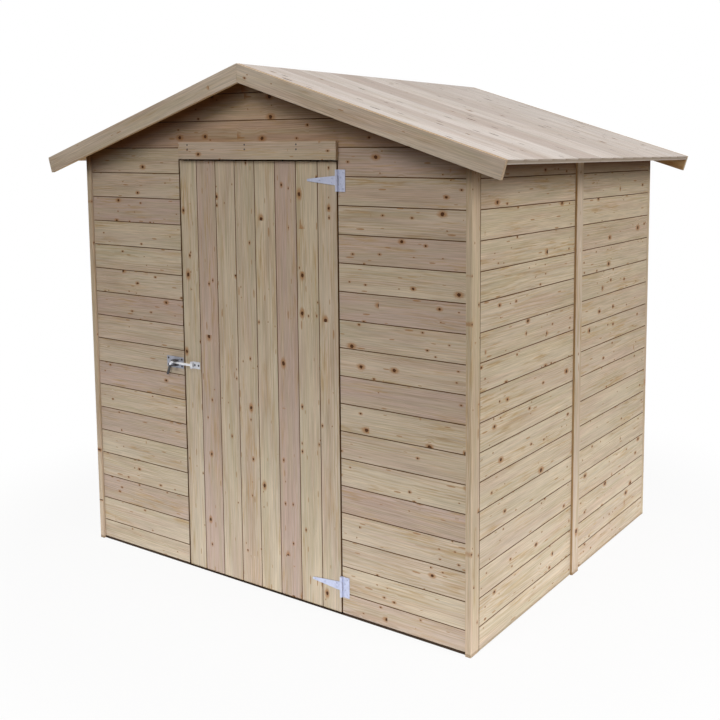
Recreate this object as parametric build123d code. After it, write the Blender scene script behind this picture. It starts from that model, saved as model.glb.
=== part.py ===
import os
from math import cos, radians, sin, tan

from build123d import *

# A small gabled garden shed of bare boards on a light timber frame.
# X runs to the right along the front, Y runs to the back, Z up from the ground. Millimetres.

# Overall form
wall_width = 1972        # over the outer faces of the side walls
wall_depth = 1620        # front boards to the rear face of the back corner strips
wall_height = 1764       # top of the side walls at their outer faces
roof_pitch = 17.14       # degrees
eave_overhang = 166      # side walls to the upper edge of the eaves
front_overhang = 82      # front boards to the outer face of the front barge boards
back_overhang = 40       # back corner strips to the outer face of the back barge boards

# Timber
board_thick = 16         # wall, roof, door and barge boards
barge_wide = 68
strip_thick = 23         # corner strips
strip_wide = 56
strip_proud = 10         # corner strips in front of the boards beside them
batten_thick = 11        # cover battens over the joints of two wall panels
batten_wide = 57
stud_deep = 28           # wall frame, across the wall
stud_wide = 40           # wall frame, along the wall
panel_joint = 2          # between the frames of two panels
purlin_wide = 40
purlin_high = 80

# Floor
bearer_high = 44
bearer_wide = 44
bearer_count = 4
deck_thick = 18
sill_high = 9            # dark strip under the front boards
sill_recess = 6          # hollow in the sill under the door

# Doorway and door
opening_width = 830
header_high = 39         # rail over the doorway
door_gap = 6             # all round the door leaf
stop_wide = 14           # stop strips reaching into the doorway behind the leaf
lintel_trim = 14         # the board over the door is that much shorter than the opening's width
lintel_high = 69
lintel_shift = 10        # the board over the door sits a little to the hinge side
ledge_thick = 20
ledge_high = 90
ledge_clear = 12         # ends of the ledges to the stop strips
ledge_rise = 100         # foot of the leaf to the lowest ledge, and the same at the top
brace_wide = 110         # along the ledges

# T-hinges
hinge_leaf = 2.5         # thickness of plates and straps
low_hinge_rise = 105     # foot of the leaf to the middle of the lower strap
high_hinge_drop = 68     # top of the leaf to the middle of the upper strap
hinge_plate_high = 80
hinge_plate_wide = 36
strap_root = 36
strap_tip = 9
strap_length = 143
knuckle_radius = 5.5
hinge_pin_radius = 3
pin_clear = 0.3          # running clearance of pins and between knuckles
knuckle_clear = 0.6      # knuckles to the boards, and to the edge of a fixed leaf

# Hasp
latch_height = 877       # middle of the bar over the ground
latch_plate_thick = 2.5
latch_plate_wide = 98
latch_plate_high = 47
latch_plate_inset = 2    # wall plate to the edge of the doorway
keep_wide = 46           # plate on the door
keep_high = 29
keep_inset = 48          # edge of the leaf to the pin
ear_thick = 7
bar_radius = 5
bar_length = 122         # pin to the bend at the free end
bar_clear = 3.5          # bar to the plates and lugs
bar_bend = 14            # radius of the bend
tail_drop = 54
tail_reach = 22
lug_wide = 24
lug_thick = 4
lug_reach = 22           # lugs in front of their plate
lug_offset = 96          # pin to the middle of the lugs
latch_pin_radius = 2.5

# Places that follow from these sizes
pitch = radians(roof_pitch)
wall_half = wall_width / 2
roof_half_span = wall_half + eave_overhang
roof_depth = front_overhang + wall_depth + back_overhang
ridge_height = wall_height + wall_half * tan(pitch) + board_thick / cos(pitch)
eave_height = ridge_height - roof_half_span * tan(pitch)
front_half = wall_half - strip_thick
side_inner = wall_half - board_thick
frame_half = side_inner - stud_deep
front_y = front_overhang - roof_depth / 2
back_y = roof_depth / 2 - back_overhang
side_front = front_y - strip_proud + strip_wide
side_back = back_y - strip_thick
side_middle = (side_front + side_back) / 2
front_inner = front_y + board_thick
front_frame = front_inner + stud_deep
back_inner = back_y - strip_proud - board_thick
back_frame = back_inner - stud_deep
back_half = wall_half - strip_wide
deck_top = bearer_high + deck_thick
deck_front = front_inner + door_gap
opening_half = opening_width / 2
opening_top = wall_height - header_high
lintel_length = opening_width - lintel_trim
door_half = opening_half - door_gap
door_foot = sill_high
door_top = opening_top - door_gap
hinge_heights = {"low": door_foot + low_hinge_rise, "high": door_top - high_hinge_drop}
hinge_x = opening_half - door_gap / 2
hinge_y = front_y - knuckle_radius - knuckle_clear
latch_x = keep_inset - door_half
latch_y = front_y - latch_plate_thick - bar_clear - bar_radius


def underside(x):
    """Height of the roof boards' lower face at a distance from the middle."""
    return wall_height + (wall_half - x) * tan(pitch)


plate_foot = underside(side_inner) - stud_wide
rail_top = deck_top + stud_wide


def block(x_low, x_high, y_low, y_high, z_low, z_high):
    """A square-edged piece between six faces."""
    middle = Pos((x_low + x_high) / 2, (y_low + y_high) / 2, (z_low + z_high) / 2)
    return middle * Box(x_high - x_low, y_high - y_low, z_high - z_low)


def upright_slab(points, y_low, y_high):
    """A piece with its outline in X and Z, as thick as the space between two faces."""
    outline = Polyline(*[(x, y_low, z) for x, z in points], close=True)
    return extrude(make_face(outline), amount=y_high - y_low, dir=(0, 1, 0))


def under_roof(side, near, far, y_low, y_high, foot):
    """A piece that rises from its foot to the slope of the roof. Side is -1 on the left, 1 on the right."""
    points = [
        (side * near, foot),
        (side * far, foot),
        (side * far, underside(far)),
        (side * near, underside(near)),
    ]
    return upright_slab(points, y_low, y_high)


def slope_slab(side, depth, y_low, y_high):
    """A board on the slope, plumb at the ridge and square at the eave, as deep as given."""
    points = [
        (0, ridge_height),
        (side * roof_half_span, eave_height),
        (side * (roof_half_span - depth * sin(pitch)), eave_height - depth * cos(pitch)),
        (0, ridge_height - depth / cos(pitch)),
    ]
    return upright_slab(points, y_low, y_high)


def gable(half, y_low, y_high):
    """The wall between the side walls' height and the roof."""
    points = [
        (-half, wall_height),
        (half, wall_height),
        (half, underside(half)),
        (0, underside(0)),
        (-half, underside(half)),
    ]
    return upright_slab(points, y_low, y_high)


def upright_rod(x, y, z_low, z_high, radius):
    """An upright round bar."""
    return Pos(x, y, (z_low + z_high) / 2) * Cylinder(radius, z_high - z_low)


def spread(low, high, width, count):
    """Lower edges of equal pieces spaced evenly from one end to the other."""
    step = (high - low - width) / (count - 1)
    return [low + index * step for index in range(count)]


def floor():
    """Bearers on the ground, the deck on them, and the thin sill under the front boards."""
    bearers = [
        block(-front_half, front_half, y, y + bearer_wide, 0, bearer_high)
        for y in spread(deck_front, back_inner, bearer_wide, bearer_count)
    ]
    deck = block(-front_half, front_half, deck_front, back_inner, bearer_high, deck_top)
    sill = block(-front_half, front_half, front_y, deck_front, 0, sill_high)
    hollow = block(-opening_half, opening_half, front_y, deck_front, sill_high - sill_recess, sill_high)
    return {"floor_bearers": bearers, "floor_deck": [deck], "front_sill": [sill - hollow]}


def front_wall():
    """Boards beside and over the doorway, with the frame behind them."""
    pieces = {}
    studs = []
    rails = [block(-frame_half, frame_half, front_inner, front_frame, opening_top, wall_height)]
    stops = []
    for side, name in ((-1, "left"), (1, "right")):
        edges = sorted((side * opening_half, side * front_half))
        pieces[f"front_wall_{name}"] = [block(*edges, front_y, front_inner, sill_high, wall_height)]
        jamb = sorted((side * opening_half, side * (opening_half + stud_wide)))
        corner = sorted((side * (frame_half - stud_wide), side * frame_half))
        foot = sorted((side * (opening_half + stud_wide), side * (frame_half - stud_wide)))
        stop = sorted((side * (opening_half - stop_wide), side * opening_half))
        for edges in (jamb, corner):
            studs.append(block(*edges, front_inner, front_frame, deck_top, opening_top))
        rails.append(block(*foot, front_inner, front_frame, deck_top, rail_top))
        stops.append(block(*stop, deck_front, front_frame, deck_top, opening_top))
    lintel_low = lintel_shift - lintel_length / 2
    lintel_high_end = lintel_shift + lintel_length / 2
    lintel_face = front_y - board_thick
    pieces["front_gable"] = [gable(front_half, front_y, front_inner)]
    pieces["door_head"] = [block(-opening_half, opening_half, front_y, front_inner, opening_top, wall_height)]
    pieces["door_lintel"] = [
        block(lintel_low, lintel_high_end, lintel_face, front_y, opening_top, opening_top + lintel_high)
    ]
    pieces["front_studs"] = studs
    pieces["front_rails"] = rails
    pieces["door_stops"] = stops
    return pieces


def back_wall():
    """Two boarded panels with a cover batten on their joint, a gable, and the frame inside."""
    pieces = {}
    studs = []
    back_face = back_inner + board_thick
    for side, name in ((-1, "left"), (1, "right")):
        panel = sorted((0, side * back_half))
        pieces[f"back_wall_{name}"] = [block(*panel, back_inner, back_face, 0, wall_height)]
        corner = sorted((side * (frame_half - stud_wide), side * frame_half))
        middle = sorted((side * panel_joint / 2, side * (panel_joint / 2 + stud_wide)))
        for edges in (corner, middle):
            studs.append(block(*edges, back_frame, back_inner, rail_top, opening_top))
    half = batten_wide / 2
    batten = block(-half, half, back_face, back_face + batten_thick, 0, underside(half))
    pieces["back_gable"] = [gable(back_half, back_inner, back_face)]
    pieces["back_batten"] = [batten]
    pieces["back_studs"] = studs
    pieces["back_rails"] = [
        block(-frame_half, frame_half, back_frame, back_inner, deck_top, rail_top),
        block(-frame_half, frame_half, back_frame, back_inner, opening_top, wall_height),
    ]
    return pieces


def side_wall(side, name):
    """Two boarded panels with a cover batten on their joint, corner strips, and the frame inside."""
    panels = {"front": (side_front, side_middle), "back": (side_middle, side_back)}
    pieces = {}
    studs = []
    for place, (low, high) in panels.items():
        pieces[f"{name}_wall_{place}"] = [under_roof(side, side_inner, wall_half, low, high, 0)]
    joint = panel_joint / 2
    starts = (side_front, side_middle - joint - stud_wide, side_middle + joint, side_back - stud_wide)
    frame = sorted((side * frame_half, side * side_inner))
    for start in starts:
        studs.append(block(*frame, start, start + stud_wide, rail_top, plate_foot))
    batten_low = side_middle - batten_wide / 2
    batten = under_roof(side, wall_half, wall_half + batten_thick, batten_low, batten_low + batten_wide, 0)
    strip_low = front_y - strip_proud
    pieces[f"{name}_joint_batten"] = [batten]
    pieces[f"{name}_front_strip"] = [under_roof(side, front_half, wall_half, strip_low, side_front, 0)]
    pieces[f"{name}_back_strip"] = [under_roof(side, back_half, wall_half, side_back, back_y, 0)]
    pieces[f"{name}_studs"] = studs
    pieces[f"{name}_rails"] = [
        block(*frame, side_front, side_back, deck_top, rail_top),
        under_roof(side, frame_half, side_inner, side_front, side_back, plate_foot),
    ]
    return pieces


def roof():
    """Two boarded slopes on purlins, with barge boards over their ends."""
    front_end = -roof_depth / 2
    back_end = roof_depth / 2
    pieces = {}
    purlin_far = (wall_half + purlin_wide) / 2
    purlin_foot = underside(purlin_far) - purlin_high
    half = purlin_wide / 2
    ridge_foot = underside(half) - purlin_high
    ridge_points = [
        (-half, ridge_foot),
        (half, ridge_foot),
        (half, underside(half)),
        (0, underside(0)),
        (-half, underside(half)),
    ]
    purlins = [upright_slab(ridge_points, front_inner, back_inner)]
    for side, name in ((-1, "left"), (1, "right")):
        pieces[f"roof_{name}"] = [
            slope_slab(side, board_thick, front_end + board_thick, back_end - board_thick)
        ]
        pieces[f"{name}_front_barge"] = [
            slope_slab(side, barge_wide, front_end, front_end + board_thick)
        ]
        pieces[f"{name}_back_barge"] = [
            slope_slab(side, barge_wide, back_end - board_thick, back_end)
        ]
        near = purlin_far - purlin_wide
        purlins.append(under_roof(side, near, purlin_far, front_inner, back_inner, purlin_foot))
    pieces["roof_purlins"] = purlins
    pieces["king_posts"] = [
        block(-half, half, front_inner, front_frame, wall_height, ridge_foot),
        block(-half, half, back_frame, back_inner, wall_height, ridge_foot),
    ]
    return pieces


def door():
    """The boarded leaf with ledges and braces on its inner side."""
    leaf = block(-door_half, door_half, front_y, front_inner, door_foot, door_top)
    inner = front_inner + ledge_thick
    reach = opening_half - stop_wide - ledge_clear
    feet = spread(door_foot + ledge_rise, door_top - ledge_rise, ledge_high, 3)
    ledges = [block(-reach, reach, front_inner, inner, foot, foot + ledge_high) for foot in feet]
    braces = []
    for lower, upper in zip(feet, feet[1:]):
        points = [
            (reach, lower + ledge_high),
            (reach - brace_wide, lower + ledge_high),
            (-reach, upper),
            (brace_wide - reach, upper),
        ]
        braces.append(upright_slab(points, front_inner, inner))
    return {"door_leaf": [leaf], "door_ledges": ledges, "door_braces": braces}


def hinge_plate(height):
    """The fixed leaf of a T-hinge, with its two knuckles and the pin."""
    half = hinge_plate_high / 2
    gap = strap_root / 2 + pin_clear
    leaf_near = hinge_x + knuckle_radius + knuckle_clear
    leaf_face = front_y - hinge_leaf
    leaf_far = hinge_x + hinge_plate_wide
    plate = block(leaf_near, leaf_far, leaf_face, front_y, height - half, height + half)
    plate += upright_rod(hinge_x, hinge_y, height - half, height + half, hinge_pin_radius)
    for low, high in ((height - half, height - gap), (height + gap, height + half)):
        plate += upright_rod(hinge_x, hinge_y, low, high, knuckle_radius)
        plate += block(hinge_x, leaf_near, leaf_face, front_y, low, high)
    return plate


def hinge_strap(height):
    """The tapered strap of a T-hinge, with its knuckle bored for the pin and a round tip."""
    tip_x = hinge_x - strap_length + strap_tip / 2
    root = strap_root / 2
    tip = strap_tip / 2
    points = [
        (hinge_x, height - root),
        (hinge_x, height + root),
        (tip_x, height + tip),
        (tip_x, height - tip),
    ]
    strap = upright_slab(points, front_y - hinge_leaf, front_y)
    turned = Pos(tip_x, front_y - hinge_leaf / 2, height) * Rot(90, 0, 0)
    strap += turned * Cylinder(tip, hinge_leaf)
    strap += upright_rod(hinge_x, hinge_y, height - root, height + root, knuckle_radius)
    return strap - upright_rod(hinge_x, hinge_y, height - root, height + root, hinge_pin_radius + pin_clear)


def latch_plate():
    """The plate on the wall that the bar lies in front of."""
    right = -opening_half - latch_plate_inset
    half = latch_plate_high / 2
    face = front_y - latch_plate_thick
    return block(right - latch_plate_wide, right, face, front_y, latch_height - half, latch_height + half)


def latch_lugs():
    """Two lugs on the wall plate, over and under the bar."""
    middle = latch_x - lug_offset
    near = bar_radius + bar_clear
    far = near + lug_thick
    foot = front_y - latch_plate_thick
    lugs = []
    for low, high in ((near, far), (-far, -near)):
        edges = (middle - lug_wide / 2, middle + lug_wide / 2)
        lugs.append(block(*edges, foot - lug_reach, foot, latch_height + low, latch_height + high))
    return lugs


def latch_keep():
    """The plate on the door, with two ears that hold the upright pin of the bar."""
    half = keep_high / 2
    face = front_y - latch_plate_thick
    ear_near = latch_x - bar_radius
    keep = block(ear_near, ear_near + keep_wide, face, front_y, latch_height - half, latch_height + half)
    keep += upright_rod(latch_x, latch_y, latch_height - half, latch_height + half, latch_pin_radius)
    for low in (latch_height - half, latch_height + half - ear_thick):
        keep += block(ear_near, latch_x + bar_radius, latch_y, face, low, low + ear_thick)
        keep += upright_rod(latch_x, latch_y, low, low + ear_thick, bar_radius)
    return keep


def latch_bar():
    """The round bar of the hasp: an eye on the pin, a straight run and a finger tail bent down."""
    bend_x = latch_x - bar_length
    route = FilletPolyline(
        (latch_x, latch_y, latch_height),
        (bend_x, latch_y, latch_height),
        (bend_x - tail_reach, latch_y, latch_height - tail_drop),
        radius=bar_bend,
    )
    bar = sweep(Plane(route @ 0, z_dir=route % 0) * Circle(bar_radius), path=route)
    eye_half = keep_high / 2 - ear_thick - pin_clear
    low = latch_height - eye_half
    high = latch_height + eye_half
    bar += upright_rod(latch_x, latch_y, low, high, bar_radius)
    return bar - upright_rod(latch_x, latch_y, low, high, latch_pin_radius + pin_clear)


def metalwork():
    """T-hinges and hasp."""
    pieces = {
        "latch_plate": [latch_plate()],
        "latch_lugs": latch_lugs(),
        "latch_keep": [latch_keep()],
        "latch_bar": [latch_bar()],
    }
    for name, height in hinge_heights.items():
        pieces[f"{name}_hinge_plate"] = [hinge_plate(height)]
        pieces[f"{name}_hinge_strap"] = [hinge_strap(height)]
    return pieces


def shed():
    """All pieces by name."""
    pieces = floor()
    pieces.update(front_wall())
    pieces.update(back_wall())
    pieces.update(side_wall(-1, "left"))
    pieces.update(side_wall(1, "right"))
    pieces.update(roof())
    pieces.update(door())
    pieces.update(metalwork())
    return pieces


os.makedirs("parts", exist_ok=True)
for node, solids in shed().items():
    whole = solids[0] if len(solids) == 1 else Compound(children=solids)
    export_step(whole, f"parts/{node}.step")
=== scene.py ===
import math
import random
from collections import namedtuple

import bmesh
import bpy
from mathutils import Matrix, Vector


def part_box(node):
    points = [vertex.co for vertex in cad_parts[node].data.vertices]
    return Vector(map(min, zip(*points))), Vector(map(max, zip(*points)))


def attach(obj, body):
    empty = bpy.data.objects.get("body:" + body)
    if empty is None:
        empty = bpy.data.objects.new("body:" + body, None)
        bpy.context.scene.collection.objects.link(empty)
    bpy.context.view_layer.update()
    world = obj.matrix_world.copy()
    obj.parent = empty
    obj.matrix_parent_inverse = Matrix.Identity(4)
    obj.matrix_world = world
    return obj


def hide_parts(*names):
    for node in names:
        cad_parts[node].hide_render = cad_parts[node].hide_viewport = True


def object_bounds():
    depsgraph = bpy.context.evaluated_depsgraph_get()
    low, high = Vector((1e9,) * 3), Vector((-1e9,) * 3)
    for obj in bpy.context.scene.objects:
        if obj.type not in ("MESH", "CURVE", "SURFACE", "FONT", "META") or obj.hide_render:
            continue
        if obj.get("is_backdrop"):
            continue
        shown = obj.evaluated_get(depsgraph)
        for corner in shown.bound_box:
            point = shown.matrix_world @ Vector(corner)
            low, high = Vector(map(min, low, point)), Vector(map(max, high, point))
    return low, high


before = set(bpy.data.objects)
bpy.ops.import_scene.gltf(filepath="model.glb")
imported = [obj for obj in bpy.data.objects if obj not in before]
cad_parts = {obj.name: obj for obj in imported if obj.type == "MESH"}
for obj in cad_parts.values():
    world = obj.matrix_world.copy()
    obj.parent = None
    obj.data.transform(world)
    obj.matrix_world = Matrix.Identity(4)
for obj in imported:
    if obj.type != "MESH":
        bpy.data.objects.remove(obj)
cad_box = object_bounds()

# Camera of the photograph, in pixels, metres and degrees
image_size = 720
focal_pixels = 976.6
centre_pixels = (430.0, 255.0)
camera_place = Vector((2.6407, -3.5752, 1.7618))
camera_turn = 33.265
camera_dip = 6.156
camera_roll = -0.093
sensor_width = 36.0

# Boards, in metres
board_cover = 0.105
first_joint = 0.0905
wall_courses = 16
gable_courses = 3
door_first_joint = -0.313
door_joints = 7
roof_pitch = math.radians(17.14)
slope_clear = 0.0006
strip_gap = 0.0025
# Narrow timber sides that take the cut colour, partly as painted shade
sawn_widths = (0.004, 0.0185)
timber_soft = 0.0014
steel_soft = 0.0005
weld_gap = 0.00001
flat_angle = 0.02

# Ranges of the random draws: tones from pale to pink, and shifts of the grain along, across and inwards
board_tones = (0.0, 0.4)
roof_tones = (-0.3, 1.0)
timber_tones = (-0.1, 0.2)
board_shifts = ((0.0, 40.0), (-0.06, 0.06), (0.014, 0.060))
timber_shifts = ((0.0, 40.0), (-0.05, 0.05), (0.02, 0.06))

# How far the sawn ends of boards and timbers take the colour of cut wood
board_end_cut = 0.7
timber_end_cut = 0.5

# Painted shade on the wood close under the roof: depths where it starts and where it is full, and its tint
painted_shade_reach = (0.108, 0.042)
painted_shade_tint = (0.27, 0.15, 0.07)

# Faces and heights of the CAD model
front_low, front_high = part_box("front_wall_left")
back_low, back_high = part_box("back_wall_left")
side_low, side_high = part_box("right_wall_front")
front_face = front_low.y
back_face = back_high.y
side_face = side_high.x
board_thick = front_high.y - front_low.y
wall_top = front_high.z
course_top = first_joint + wall_courses * board_cover
soffit_ridge = wall_top + side_face * math.tan(roof_pitch)

Edge = namedtuple("Edge", "chamfer slit")
wall_edge = Edge(chamfer=0.0017, slit=0.0003)
roof_edge = Edge(chamfer=0.0004, slit=0.0001)

# Courses with pinkish heartwood, counted up from the ground, and upright boards of the door
left_pinks = {2: 0.8, 5: 0.7, 7: 0.9, 9: 0.45, 10: 0.95, 14: 0.9}
right_pinks = {0: 0.6, 4: 0.9, 8: 1.0, 9: 0.35, 11: 0.85, 13: 0.75, 14: 0.4, 15: 0.45, 16: 1.2}
door_pinks = {1: 0.85, 5: 1.0}
gable_pinks = {0: 1.1, 1: 0.55, 2: 0.9}

# Looks of the timber, with linear colours; joint is painted shade in the grooves between boards, and cut is
# the colour of end grain that also stands for painted shade on narrow timber sides
Wood = namedtuple("Wood", "pale pink olive rose amber late halo knot fleck joint cut knot_share flecks")
Flecks = namedtuple("Flecks", "share size stretch")
bare_wood = Wood(
    pale=(0.646, 0.544, 0.396),
    pink=(0.552, 0.420, 0.340),
    olive=(0.505, 0.430, 0.270),
    rose=(0.530, 0.370, 0.285),
    amber=(0.480, 0.315, 0.150),
    late=(0.78, 0.66, 0.50),
    halo=(0.42, 0.205, 0.080),
    knot=(0.072, 0.026, 0.010),
    fleck=(0.40, 0.210, 0.085),
    # Painted shade in the grooves between boards
    joint=(0.150, 0.075, 0.030),
    cut=(0.400, 0.265, 0.145),
    knot_share=0.38,
    flecks=Flecks(share=0.75, size=0.0032, stretch=6.0),
)
trim_wood = bare_wood._replace(
    pale=(0.668, 0.560, 0.444),
    pink=(0.545, 0.435, 0.350),
    cut=(0.400, 0.240, 0.095),
    knot_share=0.12,
)
strip_wood = bare_wood._replace(
    pale=(0.622, 0.500, 0.345),
    knot_share=0.8,
)
# A darker, warmer copy of the bare wood for the gables and the panel over the door, partly their own tone
# and partly painted shade
gable_wood = bare_wood._replace(
    pale=(0.640, 0.480, 0.325),
    pink=(0.530, 0.370, 0.262),
)
# A darker, warmer copy of the bare wood: painted shade on the undersides of the roof boards and on the
# inner faces of the barge boards
soffit_wood = bare_wood._replace(
    pale=(0.46, 0.280, 0.125),
    pink=(0.38, 0.215, 0.095),
)
roof_wood = Wood(
    pale=(0.612, 0.560, 0.522),
    pink=(0.478, 0.408, 0.368),
    olive=(0.525, 0.475, 0.405),
    rose=(0.530, 0.430, 0.380),
    amber=(0.430, 0.345, 0.265),
    late=(0.84, 0.76, 0.68),
    halo=(0.34, 0.215, 0.130),
    knot=(0.085, 0.045, 0.026),
    fleck=(0.095, 0.058, 0.038),
    joint=(0.36, 0.28, 0.21),
    cut=(0.600, 0.510, 0.410),
    knot_share=0.10,
    flecks=Flecks(share=0.26, size=0.0085, stretch=3.5),
)
treated_wood = Wood(
    pale=(0.085, 0.058, 0.038),
    pink=(0.070, 0.046, 0.030),
    olive=(0.075, 0.055, 0.034),
    rose=(0.080, 0.050, 0.034),
    amber=(0.070, 0.045, 0.028),
    late=(0.70, 0.60, 0.50),
    halo=(0.050, 0.030, 0.018),
    knot=(0.020, 0.012, 0.008),
    fleck=(0.050, 0.034, 0.022),
    joint=(0.020, 0.014, 0.010),
    cut=(0.060, 0.040, 0.026),
    knot_share=0.2,
    flecks=Flecks(share=0.1, size=0.0030, stretch=6.0),
)

# Patterns in the grain: waves a metre along and across it, detail, roughness and layer of the noise
Pattern = namedtuple("Pattern", "along across detail roughness layer", defaults=(0.5, 0.0))
fibre_pattern = Pattern(10.0, 400.0, 3.0, roughness=0.6)
streak_pattern = Pattern(2.4, 95.0, 4.0, roughness=0.62)
figure_pattern = Pattern(5.0, 165.0, 2.0, layer=15.0)
patch_pattern = Pattern(2.6, 16.0, 3.0, layer=5.0)
wobble_pattern = Pattern(3.0, 45.0, 3.0, roughness=0.6)

# Patterns that show only where their noise is high, with the window of that noise and their share
Patches = namedtuple("Patches", "pattern window share", defaults=(1.0,))
olive_patches = Patches(Pattern(2.2, 24.0, 3.0, layer=9.0), (0.45, 0.66), 0.38)
rose_patches = Patches(Pattern(2.0, 26.0, 3.0, layer=23.0), (0.46, 0.68), 0.38)
curl_patches = Patches(Pattern(9.0, 120.0, 4.0, roughness=0.6, layer=53.0), (0.44, 0.68), 0.85)
flame_patches = Patches(Pattern(3.2, 19.0, 2.0, layer=61.0), (0.47, 0.68))
whorl_patches = Patches(Pattern(5.0, 0.0, 1.0, layer=31.0), (0.46, 0.62))
ring_patches = Patches(Pattern(1.6, 16.0, 2.0, layer=41.0), (0.34, 0.66))

# Knots, small pin knots and flecks, in metres, with their rims and halos in their own radii
Scatter = namedtuple("Scatter", "cell sizes stretch")
knot_scatter = Scatter(cell=(0.15, 0.085), sizes=(0.0029, 0.0078), stretch=1.2)
pin_scatter = Scatter(cell=(0.062, 0.040), sizes=(0.0014, 0.0034), stretch=1.2)
fleck_cell = (0.20, 0.060)
smallest_fleck_share = 0.4
knots_in_whorls = (0.15, 2.2)
pins_to_knots = 0.42
rim_waves = 190.0
rim_roughness = 0.5
mark_rim = (1.12, 0.84)
halo_rim = (2.6, 0.8)
halo_length = 0.7
push_reach = 5.0
push_share = 1.4

# Growth rings about a pith that wanders up and down and in and out along a board, in metres
ring_width = 0.0058
ring_wobble = 0.0060
Wander = namedtuple("Wander", "waves reach seed")
level_wander = Wander(waves=0.8, reach=0.035, seed=(3.0, 7.0))
depth_wander = Wander(waves=0.6, reach=0.022, seed=(11.0, 2.0))
late_rise = (0.30, 0.90)
late_fall = (1.0, 0.92)
faint_rings = 0.25

# How far each pattern swings the shade of the wood, and the window of tones from pale to pink
tone_swing = 0.3
tone_window = (-0.1, 1.1)
late_share = 0.55
wood_roughness = 0.68
wood_relief = 0.0005
relief_strength = 0.35
fibre_swing = 0.36
streak_swing = 0.14
figure_swing = 0.20
patch_swing = 0.15

# Light, linear
horizon_colour = (1.0, 0.82, 0.62)
zenith_colour = (0.98, 1.0, 1.03)
floor_colour = (0.82, 0.82, 0.82)

X = Vector((1, 0, 0))
Y = Vector((0, 1, 0))
Z = Vector((0, 0, 1))

Lay = namedtuple("Lay", "origin along across out")


# Shader nodes

class Graph:
    """Shorthand for the nodes of a material or of the world."""

    def __init__(self, holder):
        self.holder = holder
        holder.use_nodes = True
        self.tree = holder.node_tree
        self.tree.nodes.clear()

    def feed(self, socket, value):
        if isinstance(value, bpy.types.NodeSocket):
            self.tree.links.new(value, socket)
        else:
            socket.default_value = value

    def add(self, kind, inputs=None, **settings):
        node = self.tree.nodes.new("ShaderNode" + kind)
        for name, value in settings.items():
            setattr(node, name, value)
        for name, value in (inputs or {}).items():
            self.feed(node.inputs[name], value)
        return node

    def math(self, operation, *values):
        node = self.add("Math", operation=operation)
        for socket, value in zip(node.inputs, values):
            self.feed(socket, value)
        return node.outputs[0]

    def total(self, *values):
        result = values[0]
        for value in values[1:]:
            result = self.math("ADD", result, value)
        return result

    def product(self, *values):
        result = values[0]
        for value in values[1:]:
            result = self.math("MULTIPLY", result, value)
        return result

    def length(self, a, b):
        squares = self.total(self.product(a, a), self.product(b, b))
        return self.math("SQRT", squares)

    def point(self, x, y, z):
        return self.add("CombineXYZ", {0: x, 1: y, 2: z}).outputs[0]

    def parts(self, vector):
        return self.add("SeparateXYZ", {0: vector}).outputs

    def attribute(self, name, output):
        return self.add("Attribute", attribute_name=name).outputs[output]

    def noise(self, vector, detail=2.0, roughness=0.5):
        inputs = {"Vector": vector, "Scale": 1.0, "Detail": detail, "Roughness": roughness}
        return self.add("TexNoise", inputs).outputs["Fac"]

    def swing(self, value, reach):
        """A value from 0 to 1 as a swing to both sides of nought."""
        return self.product(self.math("SUBTRACT", value, 0.5), 2 * reach)

    def step(self, value, low, high):
        inputs = {"Value": value, "From Min": low, "From Max": high, "To Min": 0.0, "To Max": 1.0}
        return self.add("MapRange", inputs, interpolation_type="SMOOTHSTEP").outputs[0]

    def spread(self, value, low, high):
        inputs = {"Value": value, "From Min": 0.0, "From Max": 1.0, "To Min": low, "To Max": high}
        return self.add("MapRange", inputs).outputs[0]

    def mix(self, share, first, second, blend="MIX"):
        node = self.add("Mix", data_type="RGBA", blend_type=blend)
        self.feed(node.inputs[0], share)
        for socket, colour in ((node.inputs[6], first), (node.inputs[7], second)):
            self.feed(socket, (*colour, 1.0) if isinstance(colour, tuple) else colour)
        return node.outputs[2]

    def scaled(self, colour, share):
        node = self.add("VectorMath", {0: colour, "Scale": share}, operation="SCALE")
        return node.outputs[0]

    def seen_ray(self):
        """1 for rays that show the background, and 0 for rays that light the shed."""
        path = self.add("LightPath").outputs
        reflected = self.math("MAXIMUM", path["Is Glossy Ray"], path["Is Transmission Ray"])
        return self.math("MAXIMUM", path["Is Camera Ray"], reflected)

    def finish(self, shader, output="OutputMaterial"):
        self.add(output, {"Surface": shader})
        return self.holder


# Wood

Marks = namedtuple("Marks", "body halo push")


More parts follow.
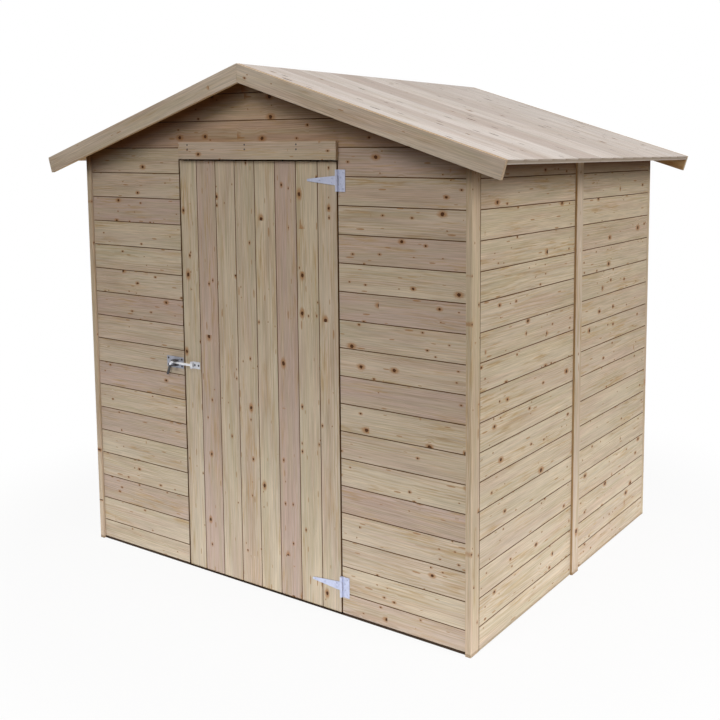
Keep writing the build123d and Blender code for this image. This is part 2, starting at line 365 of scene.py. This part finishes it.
class Grain:
    """Places in a board, along and across its face and into its depth, for one material."""

    def __init__(self, graph):
        self.graph = graph
        parts = graph.parts(graph.attribute("grain", "Vector"))
        self.along, self.across, self.depth = parts[0], parts[1], parts[2]

    def noise(self, pattern):
        """Noise that runs with the grain."""
        graph = self.graph
        place = graph.point(
            graph.product(self.along, pattern.along),
            graph.product(self.across, pattern.across),
            graph.total(graph.product(self.depth, pattern.across), pattern.layer),
        )
        return graph.noise(place, pattern.detail, pattern.roughness)

    def patches(self, patches):
        """How far a place lies in patches where their noise is high."""
        graph = self.graph
        return graph.product(graph.step(self.noise(patches.pattern), *patches.window), patches.share)

    def cells(self, scatter):
        """Steps from a place to the middle of its cell, in metres, and two chances of that cell."""
        graph = self.graph
        place = graph.point(
            graph.math("DIVIDE", self.along, scatter.cell[0]),
            graph.math("DIVIDE", self.across, scatter.cell[1]),
            0.0,
        )
        inputs = {"Vector": place, "Scale": 1.0, "Randomness": 0.9}
        cells = graph.add("TexVoronoi", inputs, voronoi_dimensions="2D").outputs
        shift = graph.add("VectorMath", {0: cells["Position"], 1: place}, operation="SUBTRACT").outputs[0]
        steps = graph.parts(shift)
        chance = graph.parts(cells["Color"])
        run = graph.product(steps[0], scatter.cell[0] / scatter.stretch)
        rise = graph.product(steps[1], scatter.cell[1])
        return run, rise, chance[0], chance[1]

    def marks(self, scatter, share):
        """Scattered round or long marks: their body, their halo and their push on the grain."""
        graph = self.graph
        run, rise, size_chance, share_chance = self.cells(scatter)
        size = graph.spread(graph.product(size_chance, size_chance), *scatter.sizes)
        present = graph.math("LESS_THAN", share_chance, share)
        run = graph.math("DIVIDE", run, size)
        rise = graph.math("DIVIDE", rise, size)
        rim_pattern = Pattern(rim_waves / scatter.stretch, rim_waves, 2.0)
        ragged = graph.swing(self.noise(rim_pattern), rim_roughness)
        body = graph.step(graph.total(graph.length(run, rise), ragged), *mark_rim)
        halo_distance = graph.length(graph.product(run, halo_length), rise)
        halo = graph.step(graph.total(halo_distance, ragged), *halo_rim)
        near = graph.step(graph.math("ABSOLUTE", run), push_reach, 0.0)
        turn = graph.math("DIVIDE", rise, graph.total(graph.math("ABSOLUTE", rise), 1.0))
        push = graph.product(turn, size, push_share, near)
        return Marks(*(graph.product(part, present) for part in (body, halo, push)))

    def wander(self, wander):
        """A slow swing of the pith along the board."""
        graph = self.graph
        place = graph.point(graph.product(self.along, wander.waves), *wander.seed)
        return graph.swing(graph.noise(place, 1.0), wander.reach)

    def rings(self, push):
        """Latewood lines of rings about a wandering pith, as flat-sawn boards show them in places."""
        graph = self.graph
        level = graph.total(self.across, push, self.wander(level_wander))
        sunk = graph.total(self.depth, self.wander(depth_wander))
        wobble = graph.swing(self.noise(wobble_pattern), ring_wobble)
        radius = graph.total(graph.length(level, sunk), wobble)
        phase = graph.math("FRACT", graph.math("DIVIDE", radius, ring_width))
        lines = graph.product(graph.step(phase, *late_rise), graph.step(phase, *late_fall))
        return graph.product(lines, graph.spread(self.patches(ring_patches), faint_rings, 1.0))


def wood_colour(graph, grain, wood, knots, pins, flecks, late, fibre):
    """Sapwood and heartwood with olive, rosy and golden patches, latewood lines and knots, the cut colour
    that is partly painted shade, and painted shade in the joints.
    """
    streak = grain.noise(streak_pattern)
    heart = graph.total(graph.attribute("tone", "Fac"), graph.swing(streak, tone_swing))
    colour = graph.mix(graph.step(heart, *tone_window), wood.pale, wood.pink)
    colour = graph.mix(grain.patches(olive_patches), colour, wood.olive)
    colour = graph.mix(grain.patches(rose_patches), colour, wood.rose)
    colour = graph.mix(graph.product(late, late_share), colour, wood.late, "MULTIPLY")
    golden = graph.product(grain.patches(curl_patches), grain.patches(flame_patches))
    colour = graph.mix(golden, colour, wood.amber)
    swings = (
        (fibre, fibre_swing),
        (streak, streak_swing),
        (grain.noise(figure_pattern), figure_swing),
        (grain.noise(patch_pattern), patch_swing),
    )
    shade = graph.total(1.0, *(graph.swing(value, reach) for value, reach in swings))
    colour = graph.scaled(colour, shade)
    paints = (
        (flecks.body, 0.80, wood.fleck),
        (knots.halo, 0.85, wood.halo),
        (pins.halo, 0.75, wood.halo),
        (pins.body, 0.90, wood.knot),
        (knots.body, 0.95, wood.knot),
        # End grain, and on narrow timber sides partly painted shade
        (graph.attribute("cut", "Fac"), 0.85, wood.cut),
        # Painted shade in the grooves between boards
        (graph.attribute("joint", "Fac"), 1.0, wood.joint),
    )
    for cover, share, paint in paints:
        colour = graph.mix(graph.product(cover, share), colour, paint)
    return colour


def under_roof(graph):
    """Distance of a place under the slope of the roof."""
    place = graph.parts(graph.add("TexCoord").outputs["Object"])
    fall = graph.product(graph.math("ABSOLUTE", place[0]), math.tan(roof_pitch))
    drop = graph.math("SUBTRACT", soffit_ridge, graph.total(place[2], fall))
    return graph.product(drop, math.cos(roof_pitch))


def wood_material(name, wood, shaded_under_roof=False):
    """Planed softwood with growth rings, knots and flecks, painted shade in the joints, and painted shade
    close under the roof or not.
    """
    graph = Graph(bpy.data.materials.new(name))
    grain = Grain(graph)
    whorls = graph.spread(grain.patches(whorl_patches), *knots_in_whorls)
    knot_share = graph.product(whorls, wood.knot_share)
    knots = grain.marks(knot_scatter, knot_share)
    pins = grain.marks(pin_scatter, graph.product(knot_share, pins_to_knots))
    fleck_sizes = (smallest_fleck_share * wood.flecks.size, wood.flecks.size)
    flecks = grain.marks(Scatter(fleck_cell, fleck_sizes, wood.flecks.stretch), wood.flecks.share)
    late = grain.rings(knots.push)
    fibre = grain.noise(fibre_pattern)
    colour = wood_colour(graph, grain, wood, knots, pins, flecks, late, fibre)
    # Painted shade: the wood gets darker and browner the closer it lies under the roof
    if shaded_under_roof:
        painted_shade = graph.step(under_roof(graph), *painted_shade_reach)
        colour = graph.mix(painted_shade, colour, painted_shade_tint, "MULTIPLY")
    height = graph.total(
        graph.product(late, 0.5), graph.product(fibre, 0.6), graph.product(knots.body, -0.5))
    bump = graph.add("Bump", {"Height": height, "Strength": relief_strength, "Distance": wood_relief})
    rough = graph.total(wood_roughness, graph.swing(fibre, 0.10), graph.product(knots.body, -0.10))
    shader = graph.add("BsdfPrincipled", {
        "Base Color": colour,
        "Roughness": rough,
        "Normal": bump.outputs[0],
        "Specular IOR Level": 0.1,
    })
    return graph.finish(shader.outputs[0])


# Steel

spangle_waves = 320.0
rolling_waves = (60.0, 60.0, 1500.0)
dull_waves = (70.0, 70.0, 70.0)
dull_window = (0.45, 0.75)
# Painted shade on the tail of the hasp bar below its keep: its blur, its colour and its height
tail_shade_blur = 0.002
tail_shade_colour = (0.060, 0.056, 0.056)
tail_rise = 0.002
tail_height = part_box("latch_keep")[0].z + tail_rise


def steel_material(name, light, dark, metal, shade_below=None):
    """Zinc-coated steel with faint spangle, rolling lines and duller spots, and painted shade below a
    height if one is given.
    """
    graph = Graph(bpy.data.materials.new(name))
    place = graph.add("TexCoord").outputs["Object"]
    cells = graph.add("TexVoronoi", {"Vector": place, "Scale": spangle_waves}).outputs["Color"]
    spangle = graph.parts(cells)[0]
    lines_at = graph.add("Mapping", {"Vector": place, "Scale": rolling_waves}).outputs[0]
    lines = graph.noise(lines_at, 3.0)
    dull_at = graph.add("Mapping", {"Vector": place, "Scale": dull_waves}).outputs[0]
    dull = graph.step(graph.noise(dull_at, 3.0), *dull_window)
    colour = graph.mix(graph.spread(spangle, 0.0, 0.35), light, dark)
    colour = graph.mix(graph.product(dull, 0.4), colour, dark)
    # Painted shade below the given height
    if shade_below is not None:
        height = graph.parts(place)[2]
        tail_shade = graph.step(height, shade_below + tail_shade_blur, shade_below - tail_shade_blur)
        colour = graph.mix(tail_shade, colour, tail_shade_colour)
    rough = graph.total(0.36, graph.product(spangle, 0.10), graph.product(dull, 0.16))
    relief = graph.total(graph.product(lines, 0.5), graph.product(spangle, 0.4))
    bump = graph.add("Bump", {"Height": relief, "Strength": 0.15, "Distance": 0.0002})
    shader = graph.add("BsdfPrincipled", {
        "Base Color": colour,
        "Roughness": rough,
        "Normal": bump.outputs[0],
        "Metallic": metal,
    })
    return graph.finish(shader.outputs[0])


looks = {
    "boards": wood_material("bare_boards", bare_wood),
    "trim": wood_material("bare_trim", trim_wood),
    # Walls, strips and gables take painted shade close under the roof
    "wall": wood_material("bare_walls", bare_wood, shaded_under_roof=True),
    "strip": wood_material("bare_strips", strip_wood, shaded_under_roof=True),
    "gable": wood_material("bare_gables", gable_wood, shaded_under_roof=True),
    "roof": wood_material("roof_boards", roof_wood),
    "soffit": wood_material("roof_soffit", soffit_wood),
    "treated": wood_material("treated_timber", treated_wood),
    "steel": steel_material("galvanised_steel", (0.60, 0.63, 0.79), (0.42, 0.45, 0.58), metal=0.15),
    "plate": steel_material("dull_steel", (0.46, 0.47, 0.54), (0.28, 0.29, 0.34), metal=0.15),
    # The hasp bar: near-white zinc as painted highlight, with painted shade on its tail
    "bar": steel_material("bright_steel", (0.90, 0.90, 0.92), (0.72, 0.73, 0.76), 0.3, tail_height),
    "keep": steel_material("pale_steel", (0.74, 0.75, 0.78), (0.56, 0.57, 0.61), metal=0.15),
    # Near-black steel: painted shade on the lugs and the screws of the hasp, also used for the lintel nails
    "dark": steel_material("dark_steel_and_painted_shade", (0.050, 0.044, 0.044), (0.026, 0.022, 0.022), metal=0.0),
}


# Pieces

def show(mesh, name, body, look, *nodes, second_look=None):
    """Put a mesh in the scene as a piece that rides on a body and stands for its CAD nodes."""
    piece = bpy.data.objects.new(name, mesh)
    bpy.context.scene.collection.objects.link(piece)
    for used in filter(None, (look, second_look)):
        mesh.materials.append(looks[used])
    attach(piece, body)
    if nodes:
        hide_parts(*nodes)
    return piece


def board_profile(low, high, thick, edge):
    """Section of a board as (across, depth, joint), round a slit and chamfer at each edge, with joint 1 on
    the faces that take painted shade.
    """
    half = -thick / 2
    foot = edge.slit
    brim = edge.slit + edge.chamfer
    fade = 0.15 * edge.chamfer
    near = [
        (0, -thick, 0),
        (0, half, 1),
        (foot, half, 1),
        (foot, -edge.chamfer, 1),
        (brim - fade, -fade, 1),
        (brim, 0, 0),
    ]
    rising = [(low + across, depth, joint) for across, depth, joint in near]
    falling = [(high - across, depth, joint) for across, depth, joint in reversed(near)]
    return rising + falling


class Boards:
    """A mesh of boards, in which each corner knows its place in the grain of its own board."""

    def __init__(self, seed):
        self.random = random.Random(seed)
        self.points = []
        self.faces = []
        self.grain = []
        self.joint = []
        self.tone = []
        self.cut = []
        self.back = []

    def add(self, lay, span, ends, thick, edge, tone=None):
        """One board between two heights across the lay, with ends(across, depth) along it."""
        if tone is None:
            tone = self.random.uniform(*board_tones)
        shift = [self.random.uniform(*limits) for limits in board_shifts]
        profile = board_profile(*span, thick, edge)
        middle = (span[0] + span[1]) / 2
        start = len(self.points)
        for end in (0, 1):
            for across, depth, joint in profile:
                along = ends(across, depth)[end]
                place = lay.origin + lay.along * along + lay.across * across + lay.out * depth
                self.points.append(place)
                self.grain.append((along + shift[0], across - middle + shift[1], depth + shift[2]))
                self.joint.append(joint)
        self.close(start, len(profile), tone)

    def close(self, start, count, tone):
        """Faces of one board: its two ends and the strips between them."""
        near = [start + i for i in range(count)]
        far = [start + count + i for i in range(count)]
        self.faces += [near, far[::-1]]
        self.cut += [board_end_cut, board_end_cut]
        self.back += [0, 0]
        for i in range(count):
            j = (i + 1) % count
            self.faces.append([near[i], near[j], far[j], far[i]])
            self.cut.append(0.0)
            self.back.append(int(j == 0))
        self.tone += [tone] * (count + 2)

    def mesh(self, name):
        mesh = bpy.data.meshes.new(name)
        mesh.from_pydata(self.points, [], self.faces)
        face_outwards(mesh)
        grain = mesh.attributes.new("grain", "FLOAT_VECTOR", "POINT")
        grain.data.foreach_set("vector", [value for place in self.grain for value in place])
        mesh.attributes.new("joint", "FLOAT", "POINT").data.foreach_set("value", self.joint)
        mesh.attributes.new("tone", "FLOAT", "FACE").data.foreach_set("value", self.tone)
        mesh.attributes.new("cut", "FLOAT", "FACE").data.foreach_set("value", self.cut)
        mesh.polygons.foreach_set("material_index", self.back)
        return mesh


def face_outwards(mesh):
    form = bmesh.new()
    form.from_mesh(mesh)
    bmesh.ops.recalc_face_normals(form, faces=form.faces)
    form.to_mesh(mesh)
    form.free()


def solids(form):
    """The separate solids of a mesh, each as a list of faces."""
    done = set()
    for first in form.faces:
        if first in done:
            continue
        done.add(first)
        group = [first]
        for face in group:
            for edge in face.edges:
                fresh = [other for other in edge.link_faces if other not in done]
                done.update(fresh)
                group += fresh
        yield group


def grain_lay(faces):
    """Grain of a solid timber: along its longest edge, with depth square to its largest face."""
    edges = [edge for face in faces for edge in face.edges]
    longest = max(edges, key=lambda edge: edge.calc_length())
    along = (longest.verts[1].co - longest.verts[0].co).normalized()
    beside = [face for face in faces if abs(face.normal.dot(along)) < 0.3]
    out = max(beside, key=lambda face: face.calc_area()).normal.copy()
    return along, out.cross(along).normalized(), out


def edge_share(face, along):
    """How far a face of a timber takes the cut colour: its ends partly, as end grain, and its narrow sides
    wholly, partly as painted shade.
    """
    if abs(face.normal.dot(along)) > 0.8:
        return timber_end_cut
    width = face.calc_area() / max(edge.calc_length() for edge in face.edges)
    return float(sawn_widths[0] < width < sawn_widths[1])


def timber(node, body="shed", look="boards", tone=0.1, inwards=None):
    """Solid timber in the shape of a CAD node, with soft edges, its own grain and painted shade on an inner
    face.
    """
    form = bmesh.new()
    form.from_mesh(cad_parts[node].data)
    bmesh.ops.remove_doubles(form, verts=form.verts, dist=weld_gap)
    bmesh.ops.dissolve_limit(form, angle_limit=flat_angle, verts=form.verts, edges=form.edges)
    bmesh.ops.recalc_face_normals(form, faces=form.faces)
    bmesh.ops.bevel(form, geom=form.edges, offset=timber_soft, segments=2, profile=0.5, affect="EDGES")
    chance = random.Random(node)
    grain = form.verts.layers.float_vector.new("grain")
    tones = form.faces.layers.float.new("tone")
    cuts = form.faces.layers.float.new("cut")
    for faces in solids(form):
        along, across, out = grain_lay(faces)
        shift = Vector([chance.uniform(*limits) for limits in timber_shifts])
        own_tone = tone + chance.uniform(*timber_tones)
        for face in faces:
            face[tones] = own_tone
            face[cuts] = edge_share(face, along)
            face.material_index = int(inwards is not None and face.normal.dot(inwards) > 0.9)
            for corner in face.verts:
                place = corner.co
                corner[grain] = shift + Vector((place.dot(along), place.dot(across), place.dot(out)))
    mesh = bpy.data.meshes.new(node)
    form.to_mesh(mesh)
    form.free()
    second_look = None if inwards is None else "soffit"
    show(mesh, f"{node}_timber", body, look, node, second_look=second_look)


# Walls

front_lay = Lay(Y * front_face, X, Z, -Y)
back_lay = Lay(Y * back_face, X, Z, Y)
right_lay = Lay(X * side_face, Y, Z, X)
left_lay = Lay(-X * side_face, Y, Z, -X)


def course_edges(foot, top):
    """Heights of the joints between a foot and a top, with both of them."""
    slack = 0.05 * board_cover
    joints = [first_joint + board_cover * i for i in range(wall_courses + gable_courses)]
    return [foot] + [height for height in joints if foot + slack < height < top - slack] + [top]


def wall_panel(node, lay, run, foot, top, seed, pinks=None, look="wall"):
    """A panel of level boards."""
    boards = Boards(seed)
    edges = course_edges(foot, top)
    for course, span in enumerate(zip(edges, edges[1:])):
        tone = (pinks or {}).get(course)
        boards.add(lay, span, lambda across, depth: run, board_thick, wall_edge, tone)
    show(boards.mesh(node), f"{node}_boards", "shed", look, node)


def gable_panel(node, lay, half, seed):
    """Level boards of a gable, cut to the slope of the roof."""
    boards = Boards(seed)

    def ends(across, depth):
        slope = (soffit_ridge - across) / math.tan(roof_pitch) - slope_clear
        reach = max(slope_clear, min(half, slope))
        return -reach, reach

    edges = course_edges(course_top, soffit_ridge)
    for course, span in enumerate(zip(edges, edges[1:])):
        boards.add(lay, span, ends, board_thick, wall_edge, gable_pinks.get(course))
    show(boards.mesh(node), f"{node}_boards", "shed", "gable", node)


def run_across(node):
    """Ends of a front or back panel, clear of the corner strip beside it."""
    low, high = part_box(node)
    left_gap = strip_gap if node.endswith("left") else 0.0
    right_gap = strip_gap if node.endswith("right") else 0.0
    return low.x + left_gap, high.x - right_gap


def run_deep(node):
    """Ends of a side panel, clear of the corner strip beside it."""
    low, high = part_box(node)
    return low.y + strip_gap, high.y - strip_gap


def front_panel(node, foot, seed, pinks=None, look="wall"):
    wall_panel(node, front_lay, run_across(node), foot, course_top, seed, pinks, look)


def back_panel(node, seed):
    wall_panel(node, back_lay, run_across(node), back_low.z, course_top, seed)


def make_walls():
    """Walls and gables, each panel with a seed of its own."""
    front_panel("front_wall_left", front_low.z, 11, left_pinks)
    front_panel("front_wall_right", front_low.z, 12, right_pinks)
    front_panel("door_head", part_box("door_head")[0].z, 13, look="gable")
    back_panel("back_wall_left", 14)
    back_panel("back_wall_right", 15)
    for side, lay, seed in (("left", left_lay, 16), ("right", right_lay, 18)):
        for end in (0, 1):
            node = f"{side}_wall_{('front', 'back')[end]}"
            wall_panel(node, lay, run_deep(node), side_low.z, wall_top, seed + end)
    gable_panel("front_gable", front_lay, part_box("front_gable")[1].x, 20)
    gable_panel("back_gable", back_lay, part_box("back_gable")[1].x, 21)


# Roof, door and floor

def even_edges(low, high):
    """Edges of full boards from a low end, with a cut board at the high end."""
    count = math.ceil((high - low) / board_cover)
    return [low + board_cover * i for i in range(count)] + [high]


def make_roof():
    """Boards from ridge to eave, plumb at the ridge and square at the eave."""
    for node, side, seed in (("roof_left", -1, 31), ("roof_right", 1, 32)):
        low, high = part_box(node)
        along = Vector((side * math.cos(roof_pitch), 0, -math.sin(roof_pitch)))
        out = Vector((side * math.sin(roof_pitch), 0, math.cos(roof_pitch)))
        lay = Lay(Z * high.z, along, Y, out)
        slope = (high.x - low.x) / math.cos(roof_pitch)
        boards = Boards(seed)
        edges = even_edges(low.y, high.y)
        for span in zip(edges, edges[1:]):
            tone = boards.random.uniform(*roof_tones)
            boards.add(
                lay, span, lambda across, depth: (-depth * math.tan(roof_pitch), slope),
                board_thick, roof_edge, tone)
        # The undersides take the soffit look, which is painted shade
        show(boards.mesh(node), f"{node}_boards", "shed", "roof", node, second_look="soffit")


def make_door():
    """Upright boards of the door leaf."""
    low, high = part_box("door_leaf")
    lay = Lay(Y * low.y, Z, X, -Y)
    edges = [low.x] + [door_first_joint + board_cover * i for i in range(door_joints)] + [high.x]
    boards = Boards(41)
    for place, span in enumerate(zip(edges, edges[1:])):
        tone = door_pinks.get(place)
        boards.add(lay, span, lambda across, depth: (low.z, high.z), high.y - low.y, wall_edge, tone)
    show(boards.mesh("door_leaf"), "door_leaf_boards", "door", "boards", "door_leaf")


def make_floor_boards():
    """Boards of the floor deck, from front to back."""
    low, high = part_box("floor_deck")
    lay = Lay(Z * high.z, Y, X, Z)
    boards = Boards(51)
    edges = even_edges(low.x, high.x)
    for span in zip(edges, edges[1:]):
        boards.add(lay, span, lambda across, depth: (low.y, high.y), high.z - low.z, roof_edge)
    show(boards.mesh("floor_deck"), "floor_deck_boards", "shed", "boards", "floor_deck")


def make_timbers():
    """Frame, strips, battens and barge boards."""
    sides = ("left", "right")
    inwards = {"front": Y, "back": -Y}
    for node in ("front_sill", "floor_bearers"):
        timber(node, look="treated")
    for node in ("front_studs", "front_rails", "back_studs", "back_rails", "roof_purlins", "king_posts"):
        timber(node)
    for node in ("back_batten", "door_stops"):
        timber(node)
    timber("door_lintel", tone=0.5)
    for side in sides:
        for node in ("studs", "rails"):
            timber(f"{side}_{node}")
        timber(f"{side}_joint_batten", look="trim", tone=-0.3)
        for node in ("front_strip", "back_strip"):
            timber(f"{side}_{node}", look="strip")
        for end, inner in inwards.items():
            timber(f"{side}_{end}_barge", look="trim", inwards=inner)
    for node in ("door_ledges", "door_braces"):
        timber(node, body="door")


# Steel fittings

Head = namedtuple("Head", "radius dome recess")
screw_head = Head(radius=0.0046, dome=0.0016, recess=0.62)
nail_head = Head(radius=0.0036, dome=0.0009, recess=0.0)
head_grid = 20
recess_arm = 0.17
steel_thick = 0.0025

# Places of screws and nails, in metres from the edges of their plates or as shares of a length
outer_screw_inset = 0.010
inner_screw_inset = 0.020
inner_screw_rise = 0.028
strap_tip_screws = (0.012, 0.060)
strap_root_inset = 0.030
strap_root_rises = (-0.008, 0.008)
latch_screw_inset = 0.009
keep_screws = (0.008, 0.029)
nail_shares = (0.065, 0.45, 0.77)
nail_drops = (0.012, 0.030)


def in_recess(head, x, y):
    """Whether a place on a screw's head, in head radii, lies in its cross recess."""
    return min(abs(x), abs(y)) < recess_arm and math.hypot(x, y) < head.recess


def head_height(head, x, y):
    """Height of a screw or nail over its seat, with x and y in head radii."""
    dome = head.dome * math.sqrt(max(0.0, 1.0 - 0.9 * (x * x + y * y)))
    return dome - 0.6 * head.dome if in_recess(head, x, y) else dome


def add_head(form, head, place, turn):
    """The head of a screw or nail on the front of the shed."""
    rows = []
    deep = set()
    for i in range(head_grid + 1):
        row = []
        for j in range(head_grid + 1):
            u = 2 * i / head_grid - 1
            v = 2 * j / head_grid - 1
            x = u * math.sqrt(1 - v * v / 2)
            y = v * math.sqrt(1 - u * u / 2)
            side = x * math.cos(turn) - y * math.sin(turn)
            rise = x * math.sin(turn) + y * math.cos(turn)
            shift = Vector((side * head.radius, -head_height(head, x, y), rise * head.radius))
            corner = form.verts.new(place + shift)
            row.append(corner)
            if in_recess(head, x, y):
                deep.add(corner)
        rows.append(row)
    for i in range(head_grid):
        for j in range(head_grid):
            corners = (rows[i][j], rows[i + 1][j], rows[i + 1][j + 1], rows[i][j + 1])
            face = form.faces.new(corners)
            # Faces inside the cross recess take the second look: painted shade
            face.material_index = int(deep.issuperset(corners))
    close_head(form, rows, place.y + steel_thick / 2)


def close_head(form, rows, seat):
    """The rim and the foot of a head."""
    last = len(rows) - 1
    rim = [rows[i][0] for i in range(last)] + [rows[last][j] for j in range(last)]
    rim += [rows[i][last] for i in range(last, 0, -1)] + [rows[0][j] for j in range(last, 0, -1)]
    foot = [form.verts.new((corner.co.x, seat, corner.co.z)) for corner in rim]
    for i in range(len(rim)):
        j = (i + 1) % len(rim)
        form.faces.new((rim[i], rim[j], foot[j], foot[i]))
    form.faces.new(foot)


def heads(name, body, head, look, recess_look, places):
    """A set of screws or nails as one piece, with painted shade in the cross recesses of the screws."""
    form = bmesh.new()
    chance = random.Random(name)
    for x, y, z in places:
        add_head(form, head, Vector((x, y, z)), chance.uniform(0, math.pi))
    bmesh.ops.recalc_face_normals(form, faces=form.faces)
    mesh = bpy.data.meshes.new(name)
    form.to_mesh(mesh)
    form.free()
    show(mesh, name, body, look, second_look=recess_look)


def make_steel():
    """Hinges and hasp: CAD nodes with softened edges, and their screws."""
    steel_looks = {
        "latch_plate": "plate",
        # The lugs take near-black steel as painted shade
        "latch_lugs": "dark",
        "latch_keep": "keep",
        "latch_bar": "bar",
    }
    for height in ("low", "high"):
        steel_looks[f"{height}_hinge_plate"] = "steel"
        steel_looks[f"{height}_hinge_strap"] = "steel"
    for node, look in steel_looks.items():
        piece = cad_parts[node]
        piece.data.materials.clear()
        piece.data.materials.append(looks[look])
        soften = piece.modifiers.new("soft_edges", "BEVEL")
        soften.width = steel_soft
        soften.segments = 2
        soften.limit_method = "ANGLE"
    hinge_screws()
    latch_screws()
    lintel_nails()


def hinge_screws():
    """Four screws in each hinge plate and four along each strap."""
    on_wall = []
    on_door = []
    face = front_face - steel_thick
    for height in ("low", "high"):
        low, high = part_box(f"{height}_hinge_plate")
        for inset, rise in ((outer_screw_inset, outer_screw_inset), (inner_screw_inset, inner_screw_rise)):
            on_wall += [(high.x - inset, face, z) for z in (low.z + rise, high.z - rise)]
        low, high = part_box(f"{height}_hinge_strap")
        middle = (low.z + high.z) / 2
        on_door += [(low.x + reach, face, middle) for reach in strap_tip_screws]
        on_door += [(high.x - strap_root_inset, face, middle + rise) for rise in strap_root_rises]
    heads("hinge_screws_wall", "shed", screw_head, "steel", "plate", on_wall)
    heads("hinge_screws_door", "door", screw_head, "steel", "plate", on_door)


def latch_screws():
    """Four screws in the wall plate of the hasp and two in the door plate."""
    inset = latch_screw_inset
    low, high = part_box("latch_plate")
    columns = (low.x + inset, high.x - inset)
    rows = (low.z + inset, high.z - inset)
    places = [(x, low.y, z) for x in columns for z in rows]
    # Near-black screw heads as painted shade
    heads("latch_screws_wall", "shed", screw_head, "dark", "dark", places)
    low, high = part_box("latch_keep")
    face = front_face - steel_thick
    middle = (low.z + high.z) / 2
    places = [(high.x - reach, face, middle) for reach in keep_screws]
    heads("latch_screws_door", "door", screw_head, "dark", "dark", places)


def lintel_nails():
    """Pairs of nails along the upper half of the lintel."""
    low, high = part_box("door_lintel")
    places = []
    for share in nail_shares:
        x = low.x + share * (high.x - low.x)
        places += [(x, low.y, high.z - drop) for drop in nail_drops]
    heads("lintel_nails", "shed", nail_head, "dark", None, places)


# Stage

sky_levels = (0.02, 0.88)
sky_window = (0.1, 0.95)
floor_reach = 2.5
floor_fade = (1.5, 0.97 * floor_reach)
floor_whiteness = 0.9

Lamp = namedtuple("Lamp", "name place target size power colour", defaults=((1.0, 1.0, 1.0),))
lamps = (
    Lamp("key", Vector((5.4, -0.5, 4.2)), Vector((0.3, 0, 1.0)), size=2.6, power=148.0),
    Lamp("front", Vector((0.4, -4.2, 5.0)), Vector((0, -0.6, 1.2)), size=2.0, power=78.0),
    Lamp("bounce", Vector((-0.2, 0, 0.012)), Vector((-0.2, 0, 1.0)), 4.2, 33.0, (0.90, 1.0, 1.18)),
)


def make_camera():
    """The camera of the photograph."""
    data = bpy.data.cameras.new("camera")
    data.sensor_width = sensor_width
    data.lens = focal_pixels / image_size * data.sensor_width
    data.shift_x = 0.5 - centre_pixels[0] / image_size
    data.shift_y = centre_pixels[1] / image_size - 0.5
    camera = bpy.data.objects.new("camera", data)
    bpy.context.scene.collection.objects.link(camera)
    turn = Matrix.Rotation(math.radians(camera_turn), 4, "Z")
    dip = Matrix.Rotation(math.radians(90.0 - camera_dip), 4, "X")
    roll = Matrix.Rotation(math.radians(camera_roll), 4, "Z")
    camera.matrix_world = Matrix.Translation(camera_place) @ turn @ dip @ roll
    bpy.context.scene.camera = camera


def make_world():
    """White where it is seen, and a soft light that grows from the horizon to overhead."""
    graph = Graph(bpy.data.worlds.new("studio"))
    rise = graph.parts(graph.add("TexCoord").outputs["Generated"])[2]
    overhead = graph.step(rise, *sky_window)
    light = graph.add("Background", {
        "Color": graph.mix(overhead, horizon_colour, zenith_colour),
        "Strength": graph.spread(overhead, *sky_levels),
    })
    white = graph.add("Background", {"Color": (1.0, 1.0, 1.0, 1.0)})
    blend = graph.add("MixShader", {0: graph.seen_ray(), 1: light.outputs[0], 2: white.outputs[0]})
    bpy.context.scene.world = graph.finish(blend.outputs[0], "OutputWorld")


def floor_material():
    """Pale, with the shadow kept, and fading to the white background."""
    graph = Graph(bpy.data.materials.new("studio_floor"))
    diffuse = graph.add("BsdfDiffuse", {"Color": (*floor_colour, 1.0)})
    white = graph.add("Emission", {"Color": (1.0, 1.0, 1.0, 1.0), "Strength": 1.0})
    place = graph.parts(graph.add("TexCoord").outputs["Object"])
    far = graph.step(graph.length(place[0], place[1]), *floor_fade)
    share = graph.product(graph.seen_ray(), graph.spread(far, floor_whiteness, 1.0))
    blend = graph.add("MixShader", {0: share, 1: diffuse.outputs[0], 2: white.outputs[0]})
    return graph.finish(blend.outputs[0])


def make_floor():
    """A round floor of its own, larger than the shed."""
    form = bmesh.new()
    bmesh.ops.create_circle(form, cap_ends=True, segments=96, radius=floor_reach)
    mesh = bpy.data.meshes.new("studio_floor")
    form.to_mesh(mesh)
    form.free()
    mesh.materials.append(floor_material())
    floor = bpy.data.objects.new("studio_floor", mesh)
    bpy.context.scene.collection.objects.link(floor)
    floor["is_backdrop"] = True


def make_lamp(lamp):
    """A round area lamp that the camera doesn't see."""
    data = bpy.data.lights.new(lamp.name, "AREA")
    data.shape = "DISK"
    data.size = lamp.size
    data.energy = lamp.power
    data.color = lamp.colour
    holder = bpy.data.objects.new(lamp.name, data)
    bpy.context.scene.collection.objects.link(holder)
    aim = (lamp.target - lamp.place).to_track_quat("-Z", "Y").to_matrix().to_4x4()
    holder.matrix_world = Matrix.Translation(lamp.place) @ aim
    holder.visible_camera = False


def make_stage():
    bpy.context.scene.view_settings.view_transform = "Standard"
    make_camera()
    make_world()
    make_floor()
    for lamp in lamps:
        make_lamp(lamp)


make_walls()
make_roof()
make_door()
make_floor_boards()
make_timbers()
make_steel()
make_stage()

boxes = {"cad": cad_box, "visual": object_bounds()}
{name: [list(corner) for corner in box] for name, box in boxes.items()}
